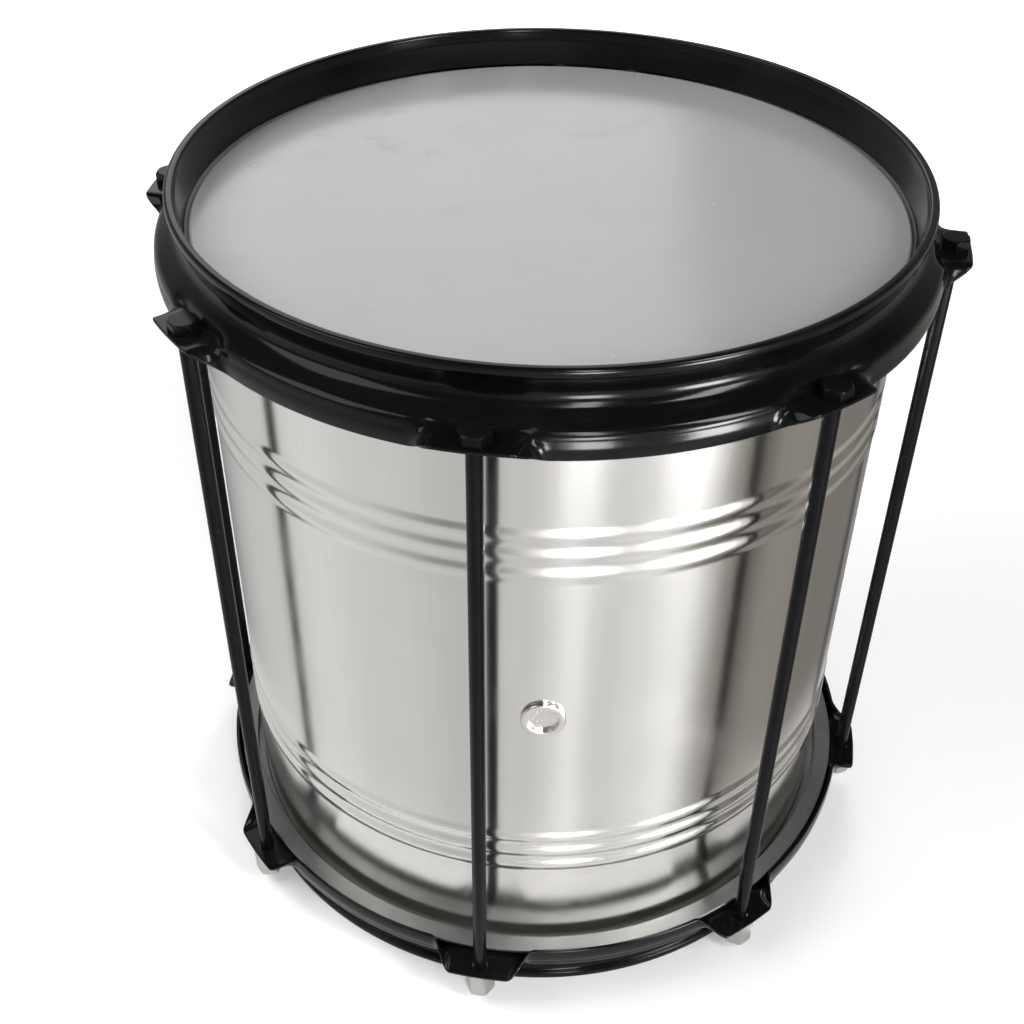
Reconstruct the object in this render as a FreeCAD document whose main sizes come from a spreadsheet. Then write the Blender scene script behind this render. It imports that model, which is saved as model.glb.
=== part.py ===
import FreeCAD, Part
import math
import os
import re

import Sketcher

# A 12-inch repinique: a Brazilian hand-and-stick drum with a beaded sheet-metal shell,
# two film heads on metal flesh hoops, two pressed steel hoops and eight through rods.
# Millimetres, +Z up. The drum stands on the lower hoop's lip, centred on the origin.
# The front is -Y, where rod 1 stands; rods count anticlockwise as seen from above.


# Driving sizes, in millimetres, degrees where the name says angle, and counts.
SHELL_SIZES = {
    "shell_radius": 151.0,
    "shell_wall": 0.9,
    "shell_length": 316.0,
    "bearing_flange": 3.2,
    "bearing_inside_rounding": 0.6,
    "bead_count": 3,
    "bead_pitch": 9.6,
    "bead_inset": 61.0,
    "bead_width": 9.2,
    "bead_rise": 0.9,
}
VENT_SIZES = {
    "vent_angle": 9.0,
    "eyelet_recess_radius": 6.4,
    "eyelet_wall": 0.8,
    "eyelet_flange_width": 2.3,
    "eyelet_rise": 1.7,
    "eyelet_rounding": 0.75,
    "eyelet_clearance": 0.2,
    "clinch_width": 1.3,
    "vent_washer_thickness": 0.8,
}
HEAD_SIZES = {
    "film_thickness": 0.4,
    "film_clearance": 0.2,
    "collar_straight": 0.25,
    "hem_depth": 3.6,
    "flesh_clearance": 3.5,
    "groove_inset": 1.5,
    "groove_side_gap": 0.15,
    "flesh_crown_width": 1.2,
    "flesh_chamfer_width": 5.6,
    "flesh_chamfer_height": 7.0,
    "flesh_edge_height": 1.75,
}
HOOP_SIZES = {
    "hoop_sheet": 1.5,
    "hoop_clearance": 0.8,
    "lip_flare": 5.1,
    "lip_rounding": 1.6,
    "lip_land": 0.8,
    "lip_side": 1.0,
    "rim_depth": 15.9,
    "shoulder_drop": 5.4,
    "skirt_clearance": 1.5,
    "skirt_drop": 11.1,
    "ear_drop": 1.3,
    "ear_border": 0.59,
    "seat_clearance": 0.39,
    "step_width": 1.4,
    "ear_half_width": 13.0,
    "ear_fold_width": 12.4,
    "rod_hole_clearance": 0.45,
}
ROD_SIZES = {
    "rod_count": 8,
    "rod_offset": 3.4,
    "rod_radius": 3.175,
    "head_flats": 11.1,
    "head_height": 4.4,
    "head_chamfer": 0.9,
    "tip_chamfer": 0.8,
    "thread_engagement": 13.5,
}
NUT_SIZES = {
    "nut_flats": 12.0,
    "nut_end_wall": 2.8,
    "nut_chamfer": 0.9,
    "dome_rise": 2.6,
    "bore_end_gap": 1.0,
    "running_clearance": 0.075,
}
FIT_SIZES = {
    "seat_gap": 0.1,
    "cut_overrun": 2.0,
}
DRIVING_SIZES = SHELL_SIZES | VENT_SIZES | HEAD_SIZES | HOOP_SIZES | ROD_SIZES | NUT_SIZES | FIT_SIZES

# Sizes that follow from the driving ones. Depths are measured down from a hoop's lip.
WORKED_SIZES = {
    "bearing_rounding": "bearing_inside_rounding + shell_wall",
    "neck_radius": "eyelet_recess_radius + eyelet_wall",
    "eyelet_flange_radius": "neck_radius + eyelet_flange_width",
    "washer_seat": "sqrt((shell_radius - shell_wall) ^ 2 - eyelet_flange_radius ^ 2) - seat_gap",
    "collar_radius": "shell_radius + film_clearance + film_thickness",
    "collar_height": "bearing_rounding + film_thickness + collar_straight",
    "flesh_radius": "shell_radius + flesh_clearance",
    "groove_radius": "flesh_radius + groove_inset",
    "flesh_crown_radius": "groove_radius + flesh_crown_width",
    "flesh_outer_radius": "flesh_crown_radius + flesh_chamfer_width",
    "foot_radius": "collar_radius + hoop_clearance",
    "root_radius": "foot_radius + hoop_sheet / 2",
    "crease_radius": "foot_radius + hoop_sheet",
    "lip_radius": "crease_radius + lip_flare",
    "lip_inner_radius": "lip_radius - 2 * lip_rounding - lip_land",
    "lip_height": "2 * lip_rounding + lip_side",
    "skirt_radius": "flesh_outer_radius + skirt_clearance + hoop_sheet",
    "shoulder_slope": "shoulder_drop / (skirt_radius - crease_radius)",
    "shoulder_thickness": "hoop_sheet * sqrt(1 + shoulder_slope ^ 2)",
    "crown_cover": "rim_depth + shoulder_thickness + shoulder_slope * (flesh_crown_radius - crease_radius)",
    "flesh_depth": "crown_cover + film_thickness + 2 * seat_gap",
    "film_depth": "flesh_depth - seat_gap - film_thickness - collar_height",
    "overall_height": "shell_length + 2 * (seat_gap + film_thickness + film_depth)",
    "bend_depth": "rim_depth + shoulder_drop",
    "ear_depth": "bend_depth + ear_drop",
    "sector_angle": "360 / rod_count",
    "rod_circle_radius": "skirt_radius + rod_offset",
    "ear_margin": "head_flats / sqrt(3) + ear_border",
    "seat_margin": "max(head_flats / sqrt(3); nut_flats / 2) + seat_clearance",
    "seat_start": "rod_circle_radius - seat_margin",
    "knee_radius": "seat_start - step_width",
    "knee_depth": "rim_depth + shoulder_slope * (knee_radius - crease_radius)",
    "ear_half_angle": "ear_half_width / rod_circle_radius * 180 / pi",
    "fold_angle": "ear_fold_width / rod_circle_radius * 180 / pi",
    "shank_length": "overall_height - 2 * (ear_depth - seat_gap) + thread_engagement",
    "nut_height": "thread_engagement + bore_end_gap + nut_end_wall",
}

# The skirt turns from flat at an ear to upright beside it in this many straight folds.
FOLD_STEPS = 4

# An edge counts as the wanted one if it lies within this share of a seat gap of its place.
MATCH_SHARE = 0.1

# Sketcher's numbers for a sketch's own horizontal axis, its vertical axis, and the points of
# a line or an arc.
HORIZONTAL_AXIS, VERTICAL_AXIS = -1, -2
START, END, CENTRE = 1, 2, 3

UPRIGHT = FreeCAD.Vector(0, 0, 1)
BACKWARD = FreeCAD.Vector(0, 1, 0)

PREFIXES = {name: "sizes." for name in DRIVING_SIZES} | {name: "worked." for name in WORKED_SIZES}

doc = FreeCAD.newDocument("repinique")


def qualified(text):
    """Put the name of the object that holds it before each size in an expression."""
    return re.sub(r"[a-z_]\w*", lambda found: PREFIXES.get(found[0], "") + found[0], text)


def make_sheet():
    """Write the driving sizes into a spreadsheet, each cell with its name as alias."""
    sheet = doc.addObject("Spreadsheet::Sheet", "sizes")
    for row, (name, value) in enumerate(DRIVING_SIZES.items(), start=1):
        sheet.set(f"A{row}", name)
        sheet.set(f"B{row}", str(value))
        sheet.setAlias(f"B{row}", name)
    doc.recompute()


def make_worked_sizes():
    """Hold the worked-out sizes as properties that are bound to the sheet."""
    worked = doc.addObject("App::VarSet", "worked")
    for name, text in WORKED_SIZES.items():
        worked.addProperty("App::PropertyFloat", name, "Worked")
        bind(worked, name, text)
    doc.recompute()


def bind(target, property_name, text):
    """Bind a property to an expression in the named sizes."""
    target.setExpression(property_name, qualified(text))


def size_of(text):
    """Work out an expression's present value."""
    value = doc.worked.evalExpression(qualified(text))
    return float(getattr(value, "Value", value))


def new_body(name):
    """Start a sub-part whose label is its node name."""
    body = doc.addObject("PartDesign::Body", name)
    body.Label = name
    return body


def origin_feature(body, role):
    """Find one of a body's own origin planes or axes."""
    for feature in body.Origin.OriginFeatures:
        if feature.Role == role:
            return feature
    raise RuntimeError(f"{body.Label} has no {role}")


def new_sketch(body, name, plane="XZ_Plane"):
    """Attach a sketch to one of the body's own origin planes."""
    sketch = body.newObject("Sketcher::SketchObject", name)
    sketch.AttachmentSupport = [(origin_feature(body, plane), "")]
    sketch.MapMode = "FlatFace"
    return sketch


def radial_sketch(body, name, azimuth):
    """Attach a sketch to the upright half plane at an azimuth, counted from the front."""
    sketch = new_sketch(body, name)
    quarter_turn = 90
    sketch.AttachmentOffset = FreeCAD.Placement(FreeCAD.Vector(), FreeCAD.Rotation(BACKWARD, -quarter_turn))
    bind(sketch, "AttachmentOffset.Rotation.Angle", f"{azimuth} - {quarter_turn}")
    return sketch


def sketch_point(place):
    """Work out the present position of a place given by two expressions."""
    across, up = place
    return FreeCAD.Vector(size_of(across), size_of(up), 0)


def pin(sketch, element, position, place):
    """Fix a sketch point at a place given by two expressions; "0" puts it on the axis."""
    across, up = place
    for text, axis, kind in ((across, VERTICAL_AXIS, "DistanceX"), (up, HORIZONTAL_AXIS, "DistanceY")):
        if text == "0":
            sketch.addConstraint(Sketcher.Constraint("PointOnObject", element, position, axis))
            continue
        index = sketch.addConstraint(Sketcher.Constraint(kind, element, position, size_of(text)))
        bind(sketch, f"Constraints[{index}]", text)


def draw_outline(sketch, corners):
    """Draw a closed outline of straight lines through corners given by expressions."""
    points = [sketch_point(corner) for corner in corners]
    lines = [sketch.addGeometry(Part.LineSegment(first, second), False)
             for first, second in zip(points, points[1:] + points[:1])]
    for line, following, corner in zip(lines, lines[1:] + lines[:1], corners):
        sketch.addConstraint(Sketcher.Constraint("Coincident", line, END, following, START))
        pin(sketch, line, START, corner)


def draw_arc_outline(sketch, start, end, centre, radius, corners=()):
    """Draw an arc, anticlockwise from start to end, closed by straight lines through corners."""
    places = [end, *corners, start]
    points = [sketch_point(place) for place in places]
    middle = sketch_point(centre)
    angles = [math.atan2(point.y - middle.y, point.x - middle.x) for point in (points[-1], points[0])]
    circle = Part.Circle(middle, UPRIGHT, size_of(radius))
    arc = sketch.addGeometry(Part.ArcOfCircle(circle, *angles), False)
    chain = [arc] + [sketch.addGeometry(Part.LineSegment(first, second), False)
                     for first, second in zip(points, points[1:])]
    for element, following, place in zip(chain, chain[1:] + chain[:1], places):
        sketch.addConstraint(Sketcher.Constraint("Coincident", element, END, following, START))
        pin(sketch, element, END, place)
    index = sketch.addConstraint(Sketcher.Constraint("Radius", arc, size_of(radius)))
    bind(sketch, f"Constraints[{index}]", radius)


def draw_circle(sketch, centre, radius):
    """Draw a circle with its centre and radius given by expressions."""
    ring = sketch.addGeometry(Part.Circle(sketch_point(centre), UPRIGHT, size_of(radius)), False)
    pin(sketch, ring, CENTRE, centre)
    index = sketch.addConstraint(Sketcher.Constraint("Radius", ring, size_of(radius)))
    bind(sketch, f"Constraints[{index}]", radius)


def draw_hexagon(sketch, flats):
    """Draw a hexagon about the sketch's origin with two of its flats facing front and back."""
    corner_radius = f"{flats} / sqrt(3)"
    full_turn, half_turn, sides = 360, 180, 6
    corners = []
    for angle in range(0, full_turn, full_turn // sides):
        up = "0" if angle % half_turn == 0 else f"{corner_radius} * sin({angle})"
        corners.append((f"{corner_radius} * cos({angle})", up))
    draw_outline(sketch, corners)


def turn_profile(body, kind, name, sketch, angle="360"):
    """Revolve a sketch about its own upright axis, as a Revolution or a Groove."""
    feature = body.newObject(f"PartDesign::{kind}", name)
    feature.Profile = sketch
    feature.ReferenceAxis = (sketch, ["V_Axis"])
    bind(feature, "Angle", angle)
    return feature


def extrude(body, kind, name, sketch, length, backwards=False):
    """Pad or pocket a sketch by a length given as an expression."""
    feature = body.newObject(f"PartDesign::{kind}", name)
    feature.Profile = sketch
    feature.Reversed = backwards
    bind(feature, "Length", length)
    return feature


def repeat_around(body, name, features):
    """Repeat features about the drum's axis, once for each tension rod."""
    pattern = body.newObject("PartDesign::PolarPattern", name)
    pattern.Originals = features
    pattern.Axis = (origin_feature(body, "Z_Axis"), [""])
    bind(pattern, "Angle", "360")
    bind(pattern, "Occurrences", "rod_count")
    body.Tip = pattern


def find_rings(base, rings, axis=UPRIGHT):
    """Name a turned feature's circular edges that have the given radii and heights."""
    doc.recompute()
    tolerance = size_of("seat_gap") * MATCH_SHARE
    wanted = [(size_of(radius), size_of(height)) for radius, height in rings]
    names = []
    for number, edge in enumerate(base.Shape.Edges, start=1):
        if not isinstance(edge.Curve, Part.Circle):
            continue
        edge_height = edge.Curve.Center.dot(axis)
        for radius, height in wanted:
            if max(abs(edge.Curve.Radius - radius), abs(edge_height - height)) < tolerance:
                names.append(f"Edge{number}")
    if len(names) < len(wanted):
        raise RuntimeError(f"{base.Label}: {len(names)} of {len(wanted)} edges found")
    return names


def round_rings(body, name, base, rings, rounding, axis=UPRIGHT):
    """Fillet circular edges of a turned feature."""
    fillet = body.newObject("PartDesign::Fillet", name)
    fillet.Base = (base, find_rings(base, rings, axis))
    bind(fillet, "Radius", rounding)
    return fillet


def stand_on_axis(body, height, upside_down=False):
    """Place a body on the drum's axis, turned over about the front rod's line if asked."""
    half_turn = 180 if upside_down else 0
    body.Placement = FreeCAD.Placement(FreeCAD.Vector(), FreeCAD.Rotation(BACKWARD, half_turn))
    bind(body, "Placement.Base.z", height)


def stand_at_azimuth(body, azimuth, distance, height):
    """Place a body at a distance from the drum's axis, turned to face outwards there."""
    any_angle = 1
    body.Placement = FreeCAD.Placement(FreeCAD.Vector(), FreeCAD.Rotation(UPRIGHT, any_angle))
    bind(body, "Placement.Rotation.Angle", azimuth)
    bind(body, "Placement.Base.x", f"{distance} * sin({azimuth})")
    bind(body, "Placement.Base.y", f"-{distance} * cos({azimuth})")
    bind(body, "Placement.Base.z", height)


def add_beads(body, side, mirror):
    """Press the row of beads near one end of the shell: a rib outside, its hollow inside."""
    first_height = f"{mirror} * (shell_length / 2 - bead_inset)"
    swell = "(bead_rise + shell_wall / 2)"
    features = []
    layers = (
        ("Revolution", "rib", "shell_radius - shell_wall / 2", "bead_width / 2"),
        ("Groove", "hollow", "shell_radius - 3 * shell_wall / 2", "(bead_width - shell_wall) / 2"),
    )
    for kind, layer, base_radius, half_width in layers:
        sketch = new_sketch(body, f"{side}_{layer}_sketch")
        radius = f"(({half_width}) ^ 2 + {swell} ^ 2) / (2 * {swell})"
        low = (base_radius, f"{first_height} - {half_width}")
        high = (base_radius, f"{first_height} + {half_width}")
        draw_arc_outline(sketch, low, high, (f"{base_radius} + {swell} - {radius}", first_height), radius)
        features.append(turn_profile(body, kind, f"{side}_{layer}", sketch))
    pattern = body.newObject("PartDesign::LinearPattern", f"{side}_beads")
    pattern.Originals = features
    pattern.Direction = (origin_feature(body, "Z_Axis"), [""])
    pattern.Reversed = mirror > 0
    bind(pattern, "Length", "bead_pitch * (bead_count - 1)")
    bind(pattern, "Occurrences", "bead_count")
    body.Tip = pattern


def make_shell():
    """The rolled sheet shell, with turned-in bearing edges, beads and the vent hole."""
    body = new_body("shell")
    half = "shell_length / 2"
    inner = "shell_radius - shell_wall"
    flange = "shell_radius - bearing_flange"
    profile = new_sketch(body, "shell_profile")
    draw_outline(profile, [
        ("shell_radius", f"-{half}"),
        ("shell_radius", half),
        (flange, half),
        (flange, f"{half} - shell_wall"),
        (inner, f"{half} - shell_wall"),
        (inner, f"shell_wall - {half}"),
        (flange, f"shell_wall - {half}"),
        (flange, f"-{half}"),
    ])
    wall = turn_profile(body, "Revolution", "wall", profile)
    inner_rings = [(inner, f"{half} - shell_wall"), (inner, f"shell_wall - {half}")]
    outer_rings = [("shell_radius", half), ("shell_radius", f"-{half}")]
    insides = round_rings(body, "bearing_insides", wall, inner_rings, "bearing_inside_rounding")
    round_rings(body, "bearing_edges", insides, outer_rings, "bearing_rounding")
    add_beads(body, "upper", 1)
    add_beads(body, "lower", -1)
    hole_sketch = radial_sketch(body, "vent_hole_sketch", "90 + vent_angle")
    draw_circle(hole_sketch, ("0", "0"), "neck_radius + eyelet_clearance")
    extrude(body, "Pocket", "vent_hole", hole_sketch, "shell_radius + cut_overrun", backwards=True)
    stand_on_axis(body, "overall_height / 2")


def make_vent_pieces():
    """The vent's closed eyelet, clinched over a washer inside the shell."""
    seat = "-(shell_radius + seat_gap)"
    face = "-(shell_radius + seat_gap + eyelet_rise)"
    floor_back = "-(shell_radius + seat_gap - eyelet_wall)"
    washer_back = "-(washer_seat - vent_washer_thickness)"
    clinch_start = "-(washer_seat - vent_washer_thickness - seat_gap)"
    clinch_end = "-(washer_seat - vent_washer_thickness - seat_gap - eyelet_wall)"
    clinch_radius = "neck_radius + clinch_width"

    eyelet = new_body("vent_eyelet")
    profile = new_sketch(eyelet, "eyelet_profile", "XY_Plane")
    draw_outline(profile, [
        ("0", seat),
        ("eyelet_recess_radius", seat),
        ("eyelet_recess_radius", face),
        ("eyelet_flange_radius", face),
        ("eyelet_flange_radius", seat),
        ("neck_radius", seat),
        ("neck_radius", clinch_start),
        (clinch_radius, clinch_start),
        (clinch_radius, clinch_end),
        ("eyelet_recess_radius", clinch_end),
        ("eyelet_recess_radius", floor_back),
        ("0", floor_back),
    ])
    cup = turn_profile(eyelet, "Revolution", "cup", profile)
    face_rings = [("eyelet_recess_radius", face), ("eyelet_flange_radius", face)]
    round_rings(eyelet, "rolled_face", cup, face_rings, "eyelet_rounding", BACKWARD)

    washer = new_body("vent_eyelet_washer")
    outline = new_sketch(washer, "washer_profile", "XY_Plane")
    draw_outline(outline, [
        ("neck_radius + eyelet_clearance", "-washer_seat"),
        ("eyelet_flange_radius", "-washer_seat"),
        ("eyelet_flange_radius", washer_back),
        ("neck_radius + eyelet_clearance", washer_back),
    ])
    turn_profile(washer, "Revolution", "disc", outline)

    for body in (eyelet, washer):
        stand_at_azimuth(body, "vent_angle", "0", "overall_height / 2")


def make_film(side, height, upside_down):
    """A head's film: a flat disc, a collar over the shell's edge and a hem in the flesh hoop."""
    film_under = "-(film_depth + film_thickness)"
    run_top = "-(film_depth + collar_height)"
    run_under = "-(film_depth + collar_height + film_thickness)"
    hem_end = "-(flesh_depth + hem_depth)"
    collar_inner = "collar_radius - film_thickness"
    hem_outer = "groove_radius + film_thickness / 2"
    hem_inner = "groove_radius - film_thickness / 2"
    body = new_body(f"{side}_film")
    profile = new_sketch(body, "film_profile")
    draw_outline(profile, [
        ("0", "-film_depth"),
        ("collar_radius", "-film_depth"),
        ("collar_radius", run_top),
        (hem_outer, run_top),
        (hem_outer, hem_end),
        (hem_inner, hem_end),
        (hem_inner, run_under),
        (collar_inner, run_under),
        (collar_inner, film_under),
        ("0", film_under),
    ])
    disc = turn_profile(body, "Revolution", "disc", profile)
    inside = round_rings(body, "bend_inside", disc, [(collar_inner, film_under)], "bearing_rounding")
    round_rings(body, "bend_outside", inside, [("collar_radius", "-film_depth")], "bearing_rounding + film_thickness")
    stand_on_axis(body, height, upside_down)


def make_flesh_hoop(side, height, upside_down):
    """The metal ring that holds a head's film, with a groove for its hem and a sloping top."""
    top = "-flesh_depth"
    groove_floor = "-(flesh_depth + hem_depth + seat_gap)"
    bottom = "-(flesh_depth + flesh_chamfer_height + flesh_edge_height)"
    groove_half = "(film_thickness / 2 + groove_side_gap)"
    body = new_body(f"{side}_flesh_hoop")
    section = new_sketch(body, "flesh_profile")
    draw_outline(section, [
        ("flesh_radius", top),
        (f"groove_radius - {groove_half}", top),
        (f"groove_radius - {groove_half}", groove_floor),
        (f"groove_radius + {groove_half}", groove_floor),
        (f"groove_radius + {groove_half}", top),
        ("flesh_crown_radius", top),
        ("flesh_outer_radius", f"{top} - flesh_chamfer_height"),
        ("flesh_outer_radius", bottom),
        ("flesh_radius", bottom),
    ])
    turn_profile(body, "Revolution", "ring", section)
    stand_on_axis(body, height, upside_down)


def under_bend(radius, depth, tilt_before, tilt_after):
    """Find the point on the sheet's underside below a bend in its upper side."""
    across = f"hoop_sheet / cos(({tilt_after} - {tilt_before}) / 2)"
    mean_tilt = f"(({tilt_before} + {tilt_after}) / 2)"
    return (f"{radius} - {across} * sin{mean_tilt}", f"-({depth} + {across} * cos{mean_tilt})")


def flange_corners(skirt_share):
    """The hoop's flange section: flat as an ear at share 0, turned down as skirt at 1."""
    ear_share = 1 - skirt_share
    bend_at = f"(seat_start * {ear_share} + skirt_radius * {skirt_share})"
    bend_down = f"(ear_depth * {ear_share} + bend_depth * {skirt_share})"
    tip_at = f"((rod_circle_radius + ear_margin) * {ear_share} + skirt_radius * {skirt_share})"
    tip_down = f"(ear_depth * {ear_share} + (bend_depth + skirt_drop) * {skirt_share})"
    tip_tilt = f"(atan2({tip_down} - {bend_down}; {tip_at} - {bend_at}))"
    shoulder_tilt = "atan(shoulder_slope)"
    step_tilt = f"atan(({bend_down} - knee_depth) / ({bend_at} - knee_radius))"
    root_down = "(rim_depth - shoulder_slope * (crease_radius - root_radius))"
    return [
        ("root_radius", f"-{root_down}"),
        ("knee_radius", "-knee_depth"),
        (bend_at, f"-{bend_down}"),
        (tip_at, f"-{tip_down}"),
        (f"{tip_at} - hoop_sheet * sin{tip_tilt}", f"-({tip_down} + hoop_sheet * cos{tip_tilt})"),
        under_bend(bend_at, bend_down, step_tilt, tip_tilt),
        under_bend("knee_radius", "knee_depth", shoulder_tilt, step_tilt),
        ("root_radius", f"-({root_down} + shoulder_thickness)"),
    ]


def flange_sketch(body, name, azimuth, skirt_share):
    """Draw the flange section on the upright half plane at an azimuth."""
    sketch = radial_sketch(body, name, azimuth)
    draw_outline(sketch, flange_corners(skirt_share))
    return sketch


def add_fold(body, side, mirror):
    """Fold the flange from a flat ear to the upright skirt on one side of the ear."""
    sections = []
    for step in range(FOLD_STEPS + 1):
        way_share = step / FOLD_STEPS
        skirt_share = (1 - math.cos(math.pi * way_share)) / 2
        azimuth = f"{mirror} * (ear_half_angle + fold_angle * {way_share})"
        sections.append(flange_sketch(body, f"{side}_fold_section_{step}", azimuth, skirt_share))
    fold = body.newObject("PartDesign::AdditiveLoft", f"{side}_fold")
    fold.Profile = sections[0]
    fold.Sections = sections[1:]
    fold.Ruled = True
    return fold


def make_hoop(name, height, upside_down):
    """A pressed sheet hoop: rolled lip, flared wall, shoulder, skirt and an ear at each rod."""
    body = new_body(name)
    profile = new_sketch(body, "rim_profile")
    draw_outline(profile, [
        ("lip_inner_radius", "0"),
        ("lip_radius", "0"),
        ("lip_radius", "-lip_height"),
        ("lip_inner_radius + hoop_sheet", "-lip_height"),
        ("crease_radius", "-(rim_depth + hoop_sheet / 2)"),
        ("foot_radius", "-(rim_depth + hoop_sheet / 2)"),
        ("lip_inner_radius", "-lip_height"),
    ])
    rim = turn_profile(body, "Revolution", "rim", profile)
    lip_rings = [("lip_inner_radius", "0"), ("lip_radius", "0"), ("lip_radius", "-lip_height")]
    round_rings(body, "rolled_lip", rim, lip_rings, "lip_rounding")

    ear_sketch = flange_sketch(body, "ear_section", "-ear_half_angle", 0)
    ear = turn_profile(body, "Revolution", "ear", ear_sketch, "2 * ear_half_angle")
    right_fold = add_fold(body, "right", 1)
    left_fold = add_fold(body, "left", -1)
    skirt_start = "(ear_half_angle + fold_angle)"
    skirt_sketch = flange_sketch(body, "skirt_section", skirt_start, 1)
    skirt = turn_profile(body, "Revolution", "skirt", skirt_sketch, f"sector_angle - 2 * {skirt_start}")
    repeat_around(body, "flange", [ear, right_fold, left_fold, skirt])

    hole_sketch = new_sketch(body, "rod_hole_sketch", "XY_Plane")
    draw_circle(hole_sketch, ("0", "-rod_circle_radius"), "rod_radius + rod_hole_clearance")
    hole = extrude(body, "Pocket", "rod_hole", hole_sketch, "ear_depth + hoop_sheet + cut_overrun")
    repeat_around(body, "rod_holes", [hole])
    stand_on_axis(body, height, upside_down)


def trim_corners(body, name, flats, top, chamfer):
    """Turn the corners off the upper end of a hexagonal prism, as on a machined nut."""
    corner = f"({flats} / sqrt(3) + cut_overrun)"
    fall = f"({chamfer} + cut_overrun * {chamfer} / ({flats} / sqrt(3) - {flats} / 2))"
    sketch = new_sketch(body, f"{name}_sketch")
    draw_outline(sketch, [
        (f"{flats} / 2", top),
        (corner, top),
        (corner, f"{top} - {fall}"),
    ])
    turn_profile(body, "Groove", name, sketch)


def make_rod(number):
    """A tension rod: a long hexagon-headed bolt that runs through both hoops' ears."""
    body = new_body(f"tension_rod_{number + 1}")
    head_sketch = new_sketch(body, "head_sketch", "XY_Plane")
    draw_hexagon(head_sketch, "head_flats")
    extrude(body, "Pad", "head", head_sketch, "head_height")
    trim_corners(body, "head_corners", "head_flats", "head_height", "head_chamfer")
    shank_sketch = new_sketch(body, "shank_sketch", "XY_Plane")
    draw_circle(shank_sketch, ("0", "0"), "rod_radius")
    shank = extrude(body, "Pad", "shank", shank_sketch, "shank_length", backwards=True)
    tip = body.newObject("PartDesign::Chamfer", "tip")
    tip.Base = (shank, find_rings(shank, [("rod_radius", "-shank_length")]))
    bind(tip, "Size", "tip_chamfer")
    azimuth = f"({number} * sector_angle)"
    stand_at_azimuth(body, azimuth, "rod_circle_radius", "overall_height - ear_depth + seat_gap")


def make_nut(number):
    """A long domed hexagon nut that holds a rod under the lower hoop's ear."""
    body = new_body(f"cap_nut_{number + 1}")
    hexagon = new_sketch(body, "hexagon_sketch", "XY_Plane")
    draw_hexagon(hexagon, "nut_flats")
    extrude(body, "Pad", "hexagon", hexagon, "nut_height", backwards=True)
    trim_corners(body, "top_corners", "nut_flats", "0", "nut_chamfer")

    corner = "(nut_flats / sqrt(3))"
    radius = f"(({corner} ^ 2 + dome_rise ^ 2) / (2 * dome_rise))"
    reach = f"({corner} + cut_overrun)"
    reach_height = f"{radius} - sqrt({radius} ^ 2 - {reach} ^ 2) - nut_height"
    below = "-(nut_height + cut_overrun)"
    dome_sketch = new_sketch(body, "dome_sketch")
    draw_arc_outline(dome_sketch, ("0", "-nut_height"), (reach, reach_height),
                     ("0", f"{radius} - nut_height"), radius, [(reach, below), ("0", below)])
    turn_profile(body, "Groove", "dome", dome_sketch)

    bore_sketch = new_sketch(body, "bore_sketch", "XY_Plane")
    draw_circle(bore_sketch, ("0", "0"), "rod_radius + running_clearance")
    extrude(body, "Pocket", "bore", bore_sketch, "thread_engagement + bore_end_gap")
    azimuth = f"({number} * sector_angle)"
    stand_at_azimuth(body, azimuth, "rod_circle_radius", "ear_depth - seat_gap")


def check_document():
    """Stop if any object of the document failed, or a sub-part has no sound shape."""
    for item in doc.Objects:
        if {"Invalid", "Error"} & set(item.State):
            raise RuntimeError(f"{item.Label} failed: {item.State}")
    for body in doc.findObjects("PartDesign::Body"):
        if body.Shape.isNull() or not body.Shape.isValid():
            raise RuntimeError(f"{body.Label} has no sound shape")


def write_parts():
    """Write each sub-part's shape, in its place, to its own STEP file."""
    os.makedirs("parts", exist_ok=True)
    for body in doc.findObjects("PartDesign::Body"):
        body.Shape.exportStep(f"parts/{body.Label}.step")
        print(f"{body.Label}: {len(body.Shape.Solids)} solid, {body.Shape.Volume:.0f} mm3")


make_sheet()
make_worked_sizes()

make_shell()
make_vent_pieces()
for side, lip_height, upside_down in (("batter", "overall_height", False), ("resonant", "0", True)):
    make_film(side, lip_height, upside_down)
    make_flesh_hoop(side, lip_height, upside_down)
    make_hoop(f"{side}_hoop", lip_height, upside_down)
for rod in range(ROD_SIZES["rod_count"]):
    make_rod(rod)
    make_nut(rod)

doc.recompute()
check_document()
write_parts()
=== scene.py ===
"""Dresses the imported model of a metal-shelled repinique for a studio picture, in metres."""
import functools
import math

import bmesh
import bpy
from mathutils import Matrix, Vector


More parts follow.
